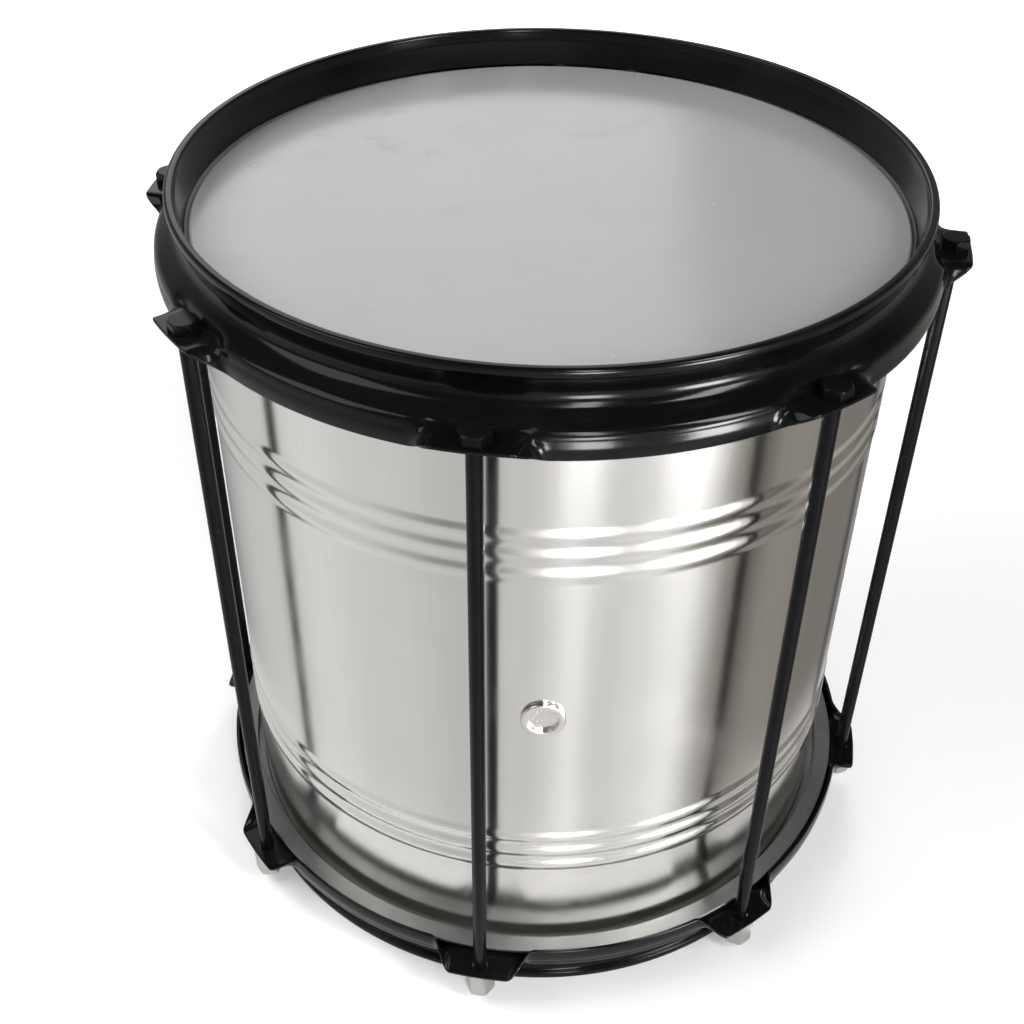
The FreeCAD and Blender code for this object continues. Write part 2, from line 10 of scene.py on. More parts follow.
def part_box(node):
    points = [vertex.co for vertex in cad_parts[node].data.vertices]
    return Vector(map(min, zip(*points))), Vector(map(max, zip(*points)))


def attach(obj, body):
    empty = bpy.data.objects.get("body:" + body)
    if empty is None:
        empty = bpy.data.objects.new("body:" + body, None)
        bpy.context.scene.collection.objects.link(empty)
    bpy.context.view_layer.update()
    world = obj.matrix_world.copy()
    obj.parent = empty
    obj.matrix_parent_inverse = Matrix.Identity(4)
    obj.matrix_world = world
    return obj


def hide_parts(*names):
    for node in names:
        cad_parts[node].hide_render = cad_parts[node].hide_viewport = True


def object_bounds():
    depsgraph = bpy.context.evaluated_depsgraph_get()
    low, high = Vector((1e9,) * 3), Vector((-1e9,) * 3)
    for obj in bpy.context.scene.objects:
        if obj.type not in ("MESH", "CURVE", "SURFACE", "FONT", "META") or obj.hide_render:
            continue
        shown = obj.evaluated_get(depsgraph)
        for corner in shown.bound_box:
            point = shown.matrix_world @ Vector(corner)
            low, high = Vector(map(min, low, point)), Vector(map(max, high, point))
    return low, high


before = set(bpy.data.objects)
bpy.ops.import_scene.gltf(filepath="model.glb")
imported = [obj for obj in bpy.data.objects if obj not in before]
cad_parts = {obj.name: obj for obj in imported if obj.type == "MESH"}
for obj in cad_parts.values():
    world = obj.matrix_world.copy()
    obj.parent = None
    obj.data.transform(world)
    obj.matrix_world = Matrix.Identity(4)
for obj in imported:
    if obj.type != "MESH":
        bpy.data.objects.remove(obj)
cad_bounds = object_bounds()

# The shell
# A sheet of bright steel rolled into a tube. Its ends are turned in to make the bearing edges that
# the heads stretch over, and three stiffening beads are rolled outwards near each end. One round
# vent hole is punched half way up.
MM = 0.001
shell_radius = 151 * MM
shell_wall = 0.9 * MM
shell_foot, shell_top = (corner.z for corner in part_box("shell"))
bearing_edge_radius = 147.8 * MM
bearing_rounding = 1.5 * MM
bead_count = 3
bead_pitch = 9.6 * MM
bead_inset = 61 * MM
bead_width = 9.6 * MM
bead_rise = 0.6 * MM
bead_steps = 14
shell_columns = 256
vent_azimuth = math.radians(9)
vent_height = (shell_foot + shell_top) / 2
vent_hole_radius = 7.4 * MM
vent_patch_columns = 3
vent_rings = 2
weld = 0.001 * MM
wave_depth = 0.22 * MM
drawn_stretch = (1, 1, 0.05)
bright_steel = (0.835, 0.82, 0.79, 1)
dull_steel = (0.765, 0.75, 0.72, 1)
UP = Vector((0, 0, 1))


def on_azimuth(radius, azimuth, height):
    """A point at a distance from the drum's axis; azimuth 0 is the front and grows to the right."""
    return Vector((radius * math.sin(azimuth), -radius * math.cos(azimuth), height))


def soften(corners, closed=True):
    """Round an outline's corners. Each has its radius, height, the rounding's reach and its points."""
    outline = []
    for number, (radius, height, reach, points) in enumerate(corners):
        corner = Vector((radius, height))
        before = Vector(corners[number - 1][:2])
        after = Vector(corners[(number + 1) % len(corners)][:2])
        is_end = not closed and number in (0, len(corners) - 1)
        if is_end or points == 1:
            outline.append(corner)
            continue
        start = corner + (before - corner).normalized() * reach
        end = corner + (after - corner).normalized() * reach
        for step in range(points):
            way_share = step / (points - 1)
            first = start.lerp(corner, way_share)
            second = corner.lerp(end, way_share)
            outline.append(first.lerp(second, way_share))
    return outline


def turn(outline, columns, closed=False, start_azimuth=0):
    """Turn an outline of radius and height about the upright axis into a skin."""
    skin = bmesh.new()
    point_number = skin.verts.layers.int.new("point_number")
    verts = []
    for number, (radius, height) in enumerate(outline):
        verts.append(skin.verts.new(on_azimuth(radius, start_azimuth, height)))
        verts[-1][point_number] = number
    ends = verts[1:] + verts[:1] if closed else verts[1:]
    edges = [skin.edges.new(pair) for pair in zip(verts, ends)]
    bmesh.ops.spin(skin, geom=verts + edges, cent=(0, 0, 0), axis=UP, angle=math.tau,
                   steps=columns, use_merge=True)
    bmesh.ops.remove_doubles(skin, verts=skin.verts, dist=weld)
    bmesh.ops.recalc_face_normals(skin, faces=skin.faces)
    return skin


def open_round_hole(skin, patch, centre, outwards, radius):
    """Take a patch of faces out and draw its rim in to a round hole; gives both edge sets."""
    patch = set(patch)
    around = {edge for face in patch for edge in face.edges}
    rim = [edge for edge in around if sum(face in patch for face in edge.link_faces) == 1]
    bmesh.ops.delete(skin, geom=list(patch), context="FACES")
    drawn_in = bmesh.ops.extrude_edge_only(skin, edges=rim)["geom"]
    circle = {part for part in drawn_in if isinstance(part, bmesh.types.BMVert)}
    for vertex in circle:
        off_centre = vertex.co - centre
        off_centre -= outwards * off_centre.dot(outwards)
        vertex.co = centre + off_centre.normalized() * radius
    edges = {edge for vertex in circle for edge in vertex.link_edges}
    hole = [edge for edge in edges if circle.issuperset(edge.verts)]
    crossing = [edge for edge in edges if not circle.issuperset(edge.verts)]
    return hole, crossing


def make_piece(skin, name, finish, wall=0):
    """Turn a finished skin into a smooth-shaded piece, with a wall inside it if it has no own."""
    mesh = bpy.data.meshes.new(name)
    skin.to_mesh(mesh)
    skin.free()
    mesh.shade_smooth()
    mesh.materials.append(finish.material)
    piece = bpy.data.objects.new(name, mesh)
    bpy.context.scene.collection.objects.link(piece)
    if wall:
        sheet_metal = piece.modifiers.new("wall", "SOLIDIFY")
        sheet_metal.thickness = wall
        sheet_metal.offset = -1
    even_shading = piece.modifiers.new("even_shading", "WEIGHTED_NORMAL")
    even_shading.keep_sharp = True
    return piece


class Value:
    """A node's number output that can be used in plain arithmetic."""

    def __init__(self, nodes, socket):
        self.nodes = nodes
        self.socket = socket

    def work(self, operation, *inputs):
        return self.nodes.add("ShaderNodeMath", dict(enumerate(inputs)), operation=operation)

    def __add__(self, other):
        return self.work("ADD", self, other)

    def __radd__(self, other):
        return self.work("ADD", other, self)

    def __sub__(self, other):
        return self.work("SUBTRACT", self, other)

    def __rsub__(self, other):
        return self.work("SUBTRACT", other, self)

    def __mul__(self, other):
        return self.work("MULTIPLY", self, other)

    def __truediv__(self, other):
        return self.work("DIVIDE", self, other)

    def __pow__(self, other):
        return self.work("POWER", self, other)

    def __lt__(self, other):
        return self.work("LESS_THAN", self, other)


class Nodes:
    """A node tree with one way to add a node."""

    def __init__(self, tree):
        self.tree = tree

    def add(self, kind, inputs=(), output=0, stops=(), **settings):
        """Add a node, set it up, feed its inputs and give one of its outputs."""
        node = self.tree.nodes.new(kind)
        for setting, value in settings.items():
            setattr(node, setting, value)
        if stops:
            ramp = node.color_ramp.elements
            ramp.remove(ramp[1])
            ramp[0].position, ramp[0].color = stops[0]
            for place_share, colour in stops[1:]:
                ramp.new(place_share).color = colour
        for name, value in dict(inputs).items():
            self.feed(node.inputs[name], value)
        return Value(self, node.outputs[output])

    def feed(self, socket, value):
        """Give a socket a number or colour, or link it to a value."""
        if isinstance(value, Value):
            self.tree.links.new(value.socket, socket)
        else:
            socket.default_value = value

    def blend(self, mask, first, second):
        """Mix two colours by a mask: the first at 0 and the second at 1."""
        inputs = {"Factor": mask, 6: first, 7: second}
        return self.add("ShaderNodeMix", inputs, 2, data_type="RGBA", clamp_factor=True)

    def noise(self, vector, scale, detail):
        """Cloudy noise between 0 and 1 along a coordinate; scale is in waves per metre."""
        return self.add("ShaderNodeTexNoise", {"Vector": vector, "Scale": scale, "Detail": detail})

    def stretch(self, vector, scale):
        """Scale a coordinate's three directions, so that a pattern on it is drawn out."""
        return self.add("ShaderNodeMapping", {"Vector": vector, "Scale": scale})

    def fade(self, value, low, high):
        """Go smoothly from 0 where a value is low to 1 where it is high."""
        inputs = {"Value": value, "From Min": low, "From Max": high}
        return self.add("ShaderNodeMapRange", inputs, interpolation_type="SMOOTHSTEP")


class Finish(Nodes):
    """One surface finish: a material whose shader is fed by name."""

    def __init__(self, name, **constants):
        self.material = bpy.data.materials.new(name)
        self.material.use_nodes = True
        super().__init__(self.material.node_tree)
        self.shader = self.tree.nodes["Principled BSDF"]
        self.place = self.add("ShaderNodeTexCoord", output="Object")
        for socket, value in constants.items():
            self.set(socket.replace("_", " ").title().replace("Ior", "IOR"), value)

    def set(self, socket, value):
        self.feed(self.shader.inputs[socket], value)

    def from_axis(self):
        """How far a point is from the drum's axis."""
        to_right = self.add("ShaderNodeSeparateXYZ", {"Vector": self.place}, "X")
        to_back = self.add("ShaderNodeSeparateXYZ", {"Vector": self.place}, "Y")
        return (to_right * to_right + to_back * to_back) ** 0.5

    def emboss(self, height, depth):
        """Raise the surface by a height pattern; depth is the pattern's full height in metres."""
        inputs = {"Height": height, "Strength": 1.0, "Distance": depth}
        self.set("Normal", self.add("ShaderNodeBump", inputs))


def bead_swell(height):
    """How far the sheet stands out at a height."""
    swell = 0
    for number in range(bead_count):
        inset = bead_inset + number * bead_pitch
        for bead_height in (shell_foot + inset, shell_top - inset):
            off_share = min(1, abs(height - bead_height) / (bead_width / 2))
            swell += bead_rise * math.cos(math.pi / 2 * off_share) ** 2
    return swell


bead_step = bead_width / bead_steps
bead_span_steps = round(((bead_count - 1) * bead_pitch + bead_width) / bead_step)
column_width = math.tau * shell_radius / shell_columns
vent_steps = range(-vent_patch_columns, vent_patch_columns + 1)
row_heights = [vent_height + step * column_width for step in vent_steps]
for step in range(bead_span_steps + 1):
    inset = bead_inset - bead_width / 2 + step * bead_step
    row_heights += [shell_foot + inset, shell_top - inset]
shell_corners = [(bearing_edge_radius, shell_foot, 0, 1), (shell_radius, shell_foot, bearing_rounding, 8)]
shell_corners += [(shell_radius + bead_swell(height), height, 0, 1) for height in sorted(row_heights)]
shell_corners += [(shell_radius, shell_top, bearing_rounding, 8), (bearing_edge_radius, shell_top, 0, 1)]
shell_skin = turn(soften(shell_corners, closed=False), shell_columns, start_azimuth=vent_azimuth)

vent_centre = on_azimuth(shell_radius, vent_azimuth, vent_height)
vent_outwards = on_azimuth(1, vent_azimuth, 0)
patch_reach = column_width * vent_patch_columns
patch_corner_reach = patch_reach * math.sqrt(2)


def is_in_vent_patch(face):
    """Whether a face lies in the square patch that the vent's hole takes out."""
    off_vent = face.calc_center_median() - vent_centre
    sideways = off_vent.cross(UP).dot(vent_outwards)
    return off_vent.length < patch_corner_reach and max(abs(off_vent.z), abs(sideways)) < patch_reach


vent_patch = list(filter(is_in_vent_patch, shell_skin.faces))
hole, crossing = open_round_hole(shell_skin, vent_patch, vent_centre, vent_outwards, vent_hole_radius)
bmesh.ops.subdivide_edges(shell_skin, edges=crossing, cuts=vent_rings)
for vertex in shell_skin.verts:
    if (vertex.co - vent_centre).length < patch_corner_reach:
        on_shell = Vector((vertex.co.x, vertex.co.y, 0)).normalized() * shell_radius
        vertex.co = on_shell + UP * vertex.co.z
bmesh.ops.recalc_face_normals(shell_skin, faces=shell_skin.faces)

steel = Finish("bright_rolled_steel", metallic=1.0, anisotropic=0.4, anisotropic_rotation=0.25)
drawn = steel.stretch(steel.place, drawn_stretch)
grain = steel.noise(drawn, scale=420, detail=5)
columns = steel.noise(drawn, scale=28, detail=2)
clouds = steel.noise(steel.place, scale=45, detail=6)
smudges = steel.fade(steel.noise(steel.place, scale=16, detail=4), low=0.5, high=0.72)
steel.set("Base Color", steel.blend(clouds * 0.6 + grain * 0.4, bright_steel, dull_steel))
steel.set("Roughness", 0.12 + grain * 0.06 + clouds * 0.04 + smudges * 0.05)
waves = steel.noise(steel.place, scale=9, detail=1)
steel.emboss(waves * 0.92 + columns * 0.08, wave_depth)

shell = make_piece(shell_skin, "rolled_shell", steel, shell_wall)
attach(shell, "drum")
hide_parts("shell")

# The vent's eyelet and washer
# A closed eyelet of plated brass fills the vent hole. Its rolled flange and its flat floor show outside,
# and inside its neck is clinched over a thin washer, so that it can't turn or rattle.
recess_radius = 6.4 * MM
eyelet_wall = 0.8 * MM
floor_rounding = 0.4 * MM
flange_radius = 9.5 * MM
flange_rise = 1.7 * MM
flange_rounding = 0.75 * MM
clinch_radius = 8.5 * MM
washer_thickness = 0.8 * MM
seat_gap = 0.1 * MM
shell_curve_drop = 0.3 * MM
stamped_rounding = 0.2 * MM
scuff_depth = 0.02 * MM
eyelet_columns = 72
nickel = (0.86, 0.84, 0.80, 1)
tarnished_nickel = (0.66, 0.63, 0.58, 1)
neck_radius = recess_radius + eyelet_wall
flange_seat = shell_radius + seat_gap
flange_face = flange_seat + flange_rise
floor_back = flange_seat - eyelet_wall
washer_seat = shell_radius - shell_wall - shell_curve_drop - seat_gap
washer_back = washer_seat - washer_thickness
clinch_seat = washer_back - seat_gap
clinch_back = clinch_seat - eyelet_wall
to_vent = vent_outwards.to_track_quat("Z", "Y").to_matrix().to_4x4()
vent_frame = Matrix.Translation(UP * vent_height) @ to_vent

eyelet_corners = [
    (0, flange_seat, 0, 1),
    (recess_radius, flange_seat, floor_rounding, 4),
    (recess_radius, flange_face, flange_rounding, 7),
    (flange_radius, flange_face, flange_rounding, 7),
    (flange_radius, flange_seat, stamped_rounding, 3),
    (neck_radius, flange_seat, stamped_rounding, 3),
    (neck_radius, clinch_seat, stamped_rounding, 3),
    (clinch_radius, clinch_seat, stamped_rounding, 3),
    (clinch_radius, clinch_back, stamped_rounding, 3),
    (recess_radius, clinch_back, flange_rounding, 5),
    (recess_radius, floor_back, floor_rounding, 3),
    (0, floor_back, 0, 1),
]
eyelet_skin = turn(soften(eyelet_corners, closed=False), eyelet_columns)
bmesh.ops.transform(eyelet_skin, matrix=vent_frame, verts=eyelet_skin.verts)

washer_corners = [
    (vent_hole_radius, washer_seat, stamped_rounding, 3),
    (flange_radius, washer_seat, stamped_rounding, 3),
    (flange_radius, washer_back, stamped_rounding, 3),
    (vent_hole_radius, washer_back, stamped_rounding, 3),
]
washer_skin = turn(soften(washer_corners), eyelet_columns, closed=True)
bmesh.ops.transform(washer_skin, matrix=vent_frame, verts=washer_skin.verts)

plating = Finish("eyelet_plating", metallic=1.0)
dulling = plating.noise(plating.place, scale=260, detail=5)
scuffs = plating.fade(plating.noise(plating.place, scale=900, detail=3), low=0.55, high=0.7)
plating.set("Base Color", plating.blend(dulling * 0.7, nickel, tarnished_nickel))
plating.set("Roughness", 0.14 + dulling * 0.12 + scuffs * 0.15)
plating.emboss(dulling * 0.5 + scuffs * 0.1, scuff_depth)

for skin, piece_name, node in (
    (eyelet_skin, "plated_eyelet", "vent_eyelet"),
    (washer_skin, "clinch_washer", "vent_eyelet_washer"),
):
    piece = make_piece(skin, piece_name, plating)
    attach(piece, "drum")
    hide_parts(node)

# The heads
# Each head is a milky polyester film. It is flat over the bearing edge, formed down over it as a
# collar, and its hem is glued into the groove of a metal ring.
overall_height = cad_bounds[1].z
SIDES = {"batter": (overall_height, -1), "resonant": (0, 1)}
film_thickness = 0.4 * MM
film_clearance = 0.2 * MM
collar_radius = shell_radius + film_clearance + film_thickness
film_depth = overall_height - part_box("batter_film")[1].z
collar_height = 2.15 * MM
hem_radius = 156 * MM
hem_end = overall_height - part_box("batter_film")[0].z
film_corner = 0.1 * MM
fibre_depth = 0.03 * MM
drift_stretch = (9, 3, 9)
film_columns = 256
milky = (0.49, 0.486, 0.474, 1)
greyed = (0.41, 0.408, 0.40, 1)


def stand_on_side(side, corners):
    """Turn an outline's depths below a hoop's lip into heights, for the upper or the lower end."""
    start, direction = SIDES[side]
    return [(radius, start + direction * depth, *rest) for radius, depth, *rest in corners]


film_run = film_depth + collar_height
hem_half = film_thickness / 2
film_corners = [
    (0, film_depth, 0, 1),
    (collar_radius, film_depth, bearing_rounding + film_thickness, 8),
    (collar_radius, film_run, film_corner, 2),
    (hem_radius + hem_half, film_run, film_corner, 2),
    (hem_radius + hem_half, hem_end, film_corner, 2),
    (hem_radius - hem_half, hem_end, film_corner, 2),
    (hem_radius - hem_half, film_run + film_thickness, film_corner, 2),
    (collar_radius - film_thickness, film_run + film_thickness, film_corner, 2),
    (collar_radius - film_thickness, film_depth + film_thickness, bearing_rounding, 8),
    (0, film_depth + film_thickness, 0, 1),
]

film = Finish("milky_film", transmission_weight=0.30, ior=1.5)
haze = film.noise(film.place, scale=26, detail=5)
drift = film.noise(film.stretch(film.place, drift_stretch), scale=1, detail=2)
fibres = film.noise(film.place, scale=700, detail=3)
rubbed = film.fade(film.noise(film.place, scale=70, detail=6), low=0.56, high=0.7)
tone = haze * 0.35 + drift * 0.45 + rubbed * 0.12
film.set("Base Color", film.blend(tone, milky, greyed))
film.set("Roughness", 0.16 + haze * 0.06 + rubbed * 0.08)
film.emboss(fibres * 0.5 + haze * 0.5, fibre_depth)

for side in SIDES:
    skin = turn(soften(stand_on_side(side, film_corners), closed=False), film_columns)
    piece = make_piece(skin, f"{side}_head", film)
    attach(piece, "drum")
    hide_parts(f"{side}_film")

# The heads' rings
# A drawn aluminium section bent to a ring holds each film's hem in its groove. The hoop's shoulder
# presses on it, and only its lower face shows between shell and skirt.
ring_radius = 154.5 * MM
groove_half = 0.35 * MM
crown_radius = 157.2 * MM
ring_outer_radius = 162.8 * MM
ring_top = 19.64 * MM
groove_floor = hem_end + seat_gap
slope_end = 26.64 * MM
ring_bottom = 28.39 * MM
drawn_rounding = 0.45 * MM
die_line_depth = 0.03 * MM
ring_columns = 256
satin_aluminium = (0.39, 0.39, 0.38, 1)
grey_aluminium = (0.28, 0.28, 0.275, 1)
ring_corners = [
    (ring_radius, ring_top, drawn_rounding, 4),
    (hem_radius - groove_half, ring_top, film_corner, 2),
    (hem_radius - groove_half, groove_floor, film_corner, 2),
    (hem_radius + groove_half, groove_floor, film_corner, 2),
    (hem_radius + groove_half, ring_top, film_corner, 2),
    (crown_radius, ring_top, drawn_rounding, 4),
    (ring_outer_radius, slope_end, drawn_rounding, 4),
    (ring_outer_radius, ring_bottom, drawn_rounding, 4),
    (ring_radius, ring_bottom, drawn_rounding, 4),
]

aluminium = Finish("satin_aluminium", metallic=1.0)
across_ring = aluminium.add("ShaderNodeCombineXYZ", {"X": aluminium.from_axis()})
die_lines = aluminium.noise(across_ring, scale=2600, detail=4)
bloom = aluminium.noise(aluminium.place, scale=60, detail=5)
aluminium.set("Base Color", aluminium.blend(bloom * 0.6 + die_lines * 0.4, satin_aluminium, grey_aluminium))
aluminium.set("Roughness", 0.36 + die_lines * 0.12 + bloom * 0.08)
aluminium.emboss(die_lines * 0.7 + bloom * 0.3, die_line_depth)

for side in SIDES:
    skin = turn(soften(stand_on_side(side, ring_corners)), ring_columns, closed=True)
    piece = make_piece(skin, f"{side}_head_ring", aluminium)
    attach(piece, "drum")
    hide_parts(f"{side}_flesh_hoop")

# The hoops
# Each hoop is pressed from one steel sheet and powder coated gloss black. Its lip is rolled, its wall
# flares, a shoulder presses on the head's ring, and its skirt is folded out flat as an ear at each rod.
rod_count = 8
sheet = 1.5 * MM
lip_inner_radius = 155 * MM
lip_outer_radius = 159 * MM
lip_rounding = 1.6 * MM
lip_height = 4.2 * MM
crease_radius = 153.9 * MM
crease_depth = 15.9 * MM
knee_radius = 161.0 * MM
skirt_radius = 165.8 * MM
bend_depth = 21.3 * MM
skirt_drop = 11.1 * MM
ear_depth = 22.6 * MM
ear_start_radius = 162.4 * MM
ear_end_radius = cad_bounds[1].x
rod_circle_radius = 169.2 * MM
ear_half_width = 13 * MM
fold_length = 12.4 * MM
rod_hole_radius = 3.625 * MM
hole_half_width = 4.8 * MM
hole_near_share = 0.16
hole_far_share = 0.83
skirt_near_share = 0.30
skirt_bulge = 0.6 * MM
bulge_share = 0.55
crease_rounding = 5.6 * MM
bend_rounding = 2.6 * MM
ear_rounding = 1.2 * MM
knee_rounding = 1.5 * MM
edge_rounding = 0.45 * MM
columns_per_rod = 90
hoop_columns = columns_per_rod * rod_count
crowding_share = 0.55
sag_depth = 0.12 * MM
gloss_black = (0.004, 0.004, 0.0045, 1)
dusty_black = (0.016, 0.0155, 0.0155, 1)
sector = math.tau / rod_count
ear_half_angle = ear_half_width / rod_circle_radius
fold_angle = fold_length / rod_circle_radius
hole_half_angle = hole_half_width / rod_circle_radius
hole_near_radius = ear_start_radius + hole_near_share * (ear_end_radius - ear_start_radius)
hole_far_radius = ear_start_radius + hole_far_share * (ear_end_radius - ear_start_radius)
shoulder_slope = (bend_depth - crease_depth) / (skirt_radius - crease_radius)
knee_depth = crease_depth + shoulder_slope * (knee_radius - crease_radius)


def under_bend(radius, depth, tilt_before, tilt_after):
    """The point on the sheet's underside below a bend in its upper side."""
    across_sheet = sheet / math.cos((tilt_after - tilt_before) / 2)
    mean_tilt = (tilt_before + tilt_after) / 2
    return radius - across_sheet * math.sin(mean_tilt), depth + across_sheet * math.cos(mean_tilt)


@functools.cache
def hoop_section(skirt_share):
    """The hoop's outline, in radius and depth: with a flat ear at share 0 and the skirt at 1."""
    ear_share = 1 - skirt_share
    fold = Vector((ear_start_radius, ear_depth)).lerp(Vector((skirt_radius, bend_depth)), skirt_share)
    ear_tip = Vector((ear_end_radius, ear_depth))
    tip = ear_tip.lerp(Vector((skirt_radius, bend_depth + skirt_drop)), skirt_share)
    near = fold.lerp(tip, hole_near_share * ear_share + skirt_near_share * skirt_share)
    middle = fold.lerp(tip, bulge_share) + Vector((skirt_bulge * skirt_share, 0))
    far = fold.lerp(tip, hole_far_share) + Vector((skirt_bulge * skirt_share / 2, 0))
    tip_tilt = math.atan2(tip.y - fold.y, tip.x - fold.x)
    shoulder_tilt = math.atan(shoulder_slope)
    step_tilt = math.atan2(fold.y - knee_depth, fold.x - knee_radius)
    to_under = Vector((-math.sin(tip_tilt), math.cos(tip_tilt))) * sheet
    fold_reach = ear_rounding * ear_share + bend_rounding * skirt_share
    skirt_reach = (tip - fold).length * hole_near_share
    return soften([
        (crease_radius - sheet, crease_depth + sheet / 2, edge_rounding, 4),
        (lip_inner_radius, lip_height, lip_rounding, 3),
        (lip_inner_radius, 0, lip_rounding, 7),
        (lip_outer_radius, 0, lip_rounding, 7),
        (lip_outer_radius, lip_height, lip_rounding, 6),
        (lip_inner_radius + sheet, lip_height, lip_rounding, 6),
        (crease_radius, crease_depth, crease_rounding, 14),
        (knee_radius, knee_depth, knee_rounding, 4),
        (*fold, fold_reach, 8),
        (*near, 0, 1),
        (*middle, skirt_reach, 5),
        (*far, 0, 1),
        (*tip, edge_rounding, 4),
        (*(tip + to_under), edge_rounding, 4),
        (*(far + to_under), 0, 1),
        (*(middle + to_under), skirt_reach, 5),
        (*(near + to_under), 0, 1),
        (*under_bend(*fold, step_tilt, tip_tilt), fold_reach / 2, 5),
        (*under_bend(knee_radius, knee_depth, shoulder_tilt, step_tilt), knee_rounding / 2, 3),
    ])


def skirt_share_at(from_ear):
    """How much of the fold from ear to skirt is done at an angle from the ear's middle."""
    way_share = min(1, max(0, (abs(from_ear) - ear_half_angle) / fold_angle))
    return round((1 - math.cos(math.pi * way_share)) / 2, 6)


def press_hoop(side):
    """Spin a blank ring and press each column of it to the section that the hoop has there."""
    start, direction = SIDES[side]
    blank = [(radius, start + direction * depth) for radius, depth in hoop_section(1)]
    skin = turn(blank, hoop_columns, closed=True)
    point_number = skin.verts.layers.int["point_number"]
    half_sector = sector / 2
    for vertex in skin.verts:
        azimuth = math.atan2(vertex.co.x, -vertex.co.y)
        from_ear = (azimuth + half_sector) % sector - half_sector
        way_share = from_ear / half_sector
        crowded = from_ear * (crowding_share + (1 - crowding_share) * way_share ** 2)
        radius, depth = hoop_section(skirt_share_at(crowded))[vertex[point_number]]
        vertex.co = on_azimuth(radius, azimuth + crowded - from_ear, start + direction * depth)
    return skin


def drill_ears(skin, side):
    """Drill each ear: open a round hole in both faces of its sheet and line the hole."""
    start, direction = SIDES[side]
    patches = {}
    for face in skin.faces:
        middle = face.calc_center_median()
        distance = math.hypot(middle.x, middle.y)
        number = round(math.atan2(middle.x, -middle.y) / sector) % rod_count
        off_angle = math.asin(middle.cross(on_azimuth(1, number * sector, 0)).z / distance)
        is_at_rod = hole_near_radius < distance < hole_far_radius and abs(off_angle) < hole_half_angle
        for depth in (ear_depth, ear_depth + sheet):
            if is_at_rod and abs(middle.z - start - direction * depth) < sheet / 4:
                patches.setdefault((number, depth), []).append(face)
    rims = {}
    for (number, depth), patch in patches.items():
        centre = on_azimuth(rod_circle_radius, number * sector, start + direction * depth)
        rims[number, depth] = open_round_hole(skin, patch, centre, UP, rod_hole_radius)[0]
    for number in range(rod_count):
        for edge in rims[number, ear_depth] + rims[number, ear_depth + sheet]:
            edge.smooth = False
        lining = bmesh.ops.extrude_edge_only(skin, edges=rims[number, ear_depth])["geom"]
        far_rim = {part for part in lining if isinstance(part, bmesh.types.BMVert)}
        bmesh.ops.translate(skin, verts=list(far_rim), vec=UP * direction * sheet)
        rim_verts = {vertex for edge in rims[number, ear_depth + sheet] for vertex in edge.verts}
        bmesh.ops.remove_doubles(skin, verts=list(far_rim | rim_verts), dist=weld)


enamel = Finish("gloss_black_enamel", specular_ior_level=0.22)
peel = enamel.noise(enamel.place, scale=330, detail=2)
sag = enamel.noise(enamel.place, scale=40, detail=2)
dust = enamel.fade(enamel.noise(enamel.place, scale=1300, detail=2), low=0.68, high=0.76)
handling = enamel.fade(enamel.noise(enamel.place, scale=22, detail=5), low=0.5, high=0.75)
enamel.set("Base Color", enamel.blend(dust * 0.5 + handling * 0.25, gloss_black, dusty_black))
enamel.set("Roughness", 0.11 + peel * 0.05 + handling * 0.08 + dust * 0.2)
enamel.emboss(peel * 0.12 + sag * 0.88, sag_depth)

for side in SIDES:
    skin = press_hoop(side)
    drill_ears(skin, side)
    bmesh.ops.recalc_face_normals(skin, faces=skin.faces)
    piece = make_piece(skin, f"{side}_enamelled_hoop", enamel)
    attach(piece, "drum")
    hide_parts(f"{side}_hoop")

# The tension rods
# Eight long steel rods with hexagon heads, blacked and lacquered. Each hangs by its head in an ear of
# the upper hoop, and its threaded end runs in a nut under the lower one.
rod_radius = 3.175 * MM
head_flats = 11.1 * MM
head_height = 4.4 * MM
head_chamfer = 0.9 * MM
head_face_share = 0.96
tip_chamfer = 0.8 * MM
thread_pitch = 1.27 * MM
thread_depth = 0.3 * MM
corner_easing = 0.16 * MM
sharpest_kept_angle = math.radians(25)
most_edges_between_flats = 8
turning_stretch = (1, 1, 18)
rod_columns = 48
fillet = 0.3 * MM
rod_black = (0.004, 0.004, 0.005, 1)
rubbed_steel = (0.014, 0.014, 0.015, 1)
head_seat = overall_height - ear_depth + seat_gap
head_top = head_seat + head_height
rod_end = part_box("tension_rod_1")[0].z


def mill_hexagon(skin, flats):
    """Cut a turned blank to six flats, and break the edges that the cuts leave."""
    for number in range(6):
        outwards = on_azimuth(1, number * math.pi / 3, 0)
        everything = list(skin.verts) + list(skin.edges) + list(skin.faces)
        cut = bmesh.ops.bisect_plane(skin, geom=everything, plane_co=outwards * flats / 2,
                                     plane_no=outwards, clear_outer=True)["geom_cut"]
        cut_edges = [part for part in cut if isinstance(part, bmesh.types.BMEdge)]
        bmesh.ops.edgeloop_fill(skin, edges=cut_edges)
    bmesh.ops.recalc_face_normals(skin, faces=skin.faces)
    flat_sides = [face for face in skin.faces if len(face.edges) > most_edges_between_flats]
    borders = {edge for face in flat_sides for edge in face.edges}
    broken = [edge for edge in borders if abs(edge.calc_face_angle(0)) > sharpest_kept_angle]
    bmesh.ops.bevel(skin, geom=broken, offset=corner_easing, offset_type="OFFSET", segments=2,
                    profile=0.5, affect="EDGES", material=-1, clamp_overlap=True)


def stand_at_rod(skin, number):
    """Move a skin from the drum's axis to one rod's place, with a flat of it facing outwards."""
    place = Matrix.Translation(on_azimuth(rod_circle_radius, number * sector, 0))
    place = place @ Matrix.Rotation(number * sector, 4, "Z")
    bmesh.ops.transform(skin, matrix=place, verts=skin.verts)


